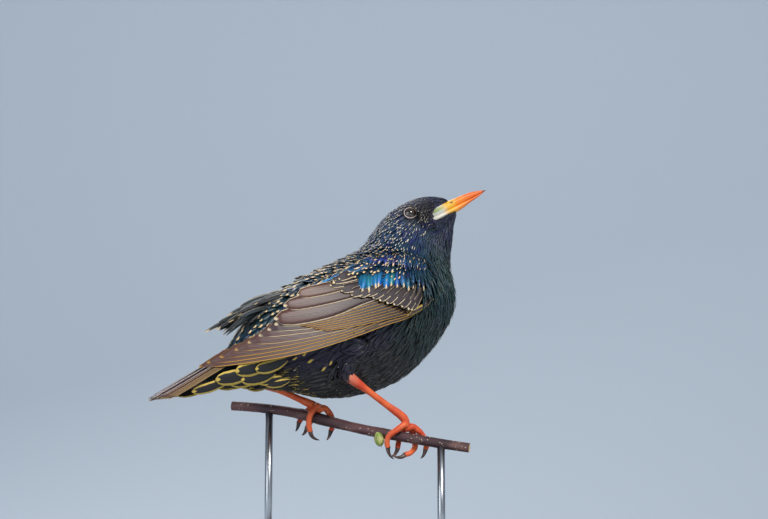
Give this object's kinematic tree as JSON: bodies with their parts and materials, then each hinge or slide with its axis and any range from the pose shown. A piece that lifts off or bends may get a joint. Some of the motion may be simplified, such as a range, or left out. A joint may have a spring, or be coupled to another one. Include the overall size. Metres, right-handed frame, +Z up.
{
  "type": "starling",
  "caption": "A life-size starling in spring plumage standing on a cut twig with head raised, held by rods over a flat base, as a still display model.",
  "frame": {"origin": "centre of the flat underside of the display base", "axes": "+Z up, +X along the base's long side towards the bill, +Y towards the bird's left side, away from the viewer of the picture"},
  "size_m": [0.1698, 0.0987, 0.1924],
  "materials": {
    "plumage": "glossy blue, green and purple black feathers with buff tips",
    "flight_feathers": "satin brown feathers with golden buff edges",
    "bill_horn": "satin horn, yellow and orange with a blue-grey root",
    "eye_glass": "wet gloss, dark brown",
    "leg_skin": "satin scaled skin, orange red",
    "claw_horn": "satin horn, dark brown",
    "twig_bark": "smooth purple-brown bark with pale pores",
    "bud_green": "soft green bud",
    "base_wood": "dark oiled wood",
    "rod_metal": "brushed steel"
  },
  "bodies": {
    "root": {"stand_base": "base_wood", "stand_rod_left": "rod_metal", "stand_rod_right": "rod_metal", "perch_twig": "twig_bark", "perch_bud": "bud_green", "trunk": "plumage", "neck": "plumage", "head": "plumage", "rump_feathers": "plumage", "eye_right": "eye_glass", "eye_left": "eye_glass", "bill_upper": "bill_horn", "bill_lower": "bill_horn", "tail": "flight_feathers", "wing_right_coverts": "plumage", "wing_right_secondaries": "flight_feathers", "wing_right_primaries": "flight_feathers", "wing_left_coverts": "plumage", "wing_left_secondaries": "flight_feathers", "wing_left_primaries": "flight_feathers", "tibia_right": "plumage", "tibia_left": "plumage", "tarsus_right": "leg_skin", "tarsus_left": "leg_skin", "toe_right_1": "leg_skin", "claw_right_1": "claw_horn", "toe_right_2": "leg_skin", "claw_right_2": "claw_horn", "toe_right_3": "leg_skin", "claw_right_3": "claw_horn", "toe_right_4": "leg_skin", "claw_right_4": "claw_horn", "toe_left_1": "leg_skin", "claw_left_1": "claw_horn", "toe_left_2": "leg_skin", "claw_left_2": "claw_horn", "toe_left_3": "leg_skin", "claw_left_3": "claw_horn", "toe_left_4": "leg_skin", "claw_left_4": "claw_horn"}
  },
  "joints": []
}
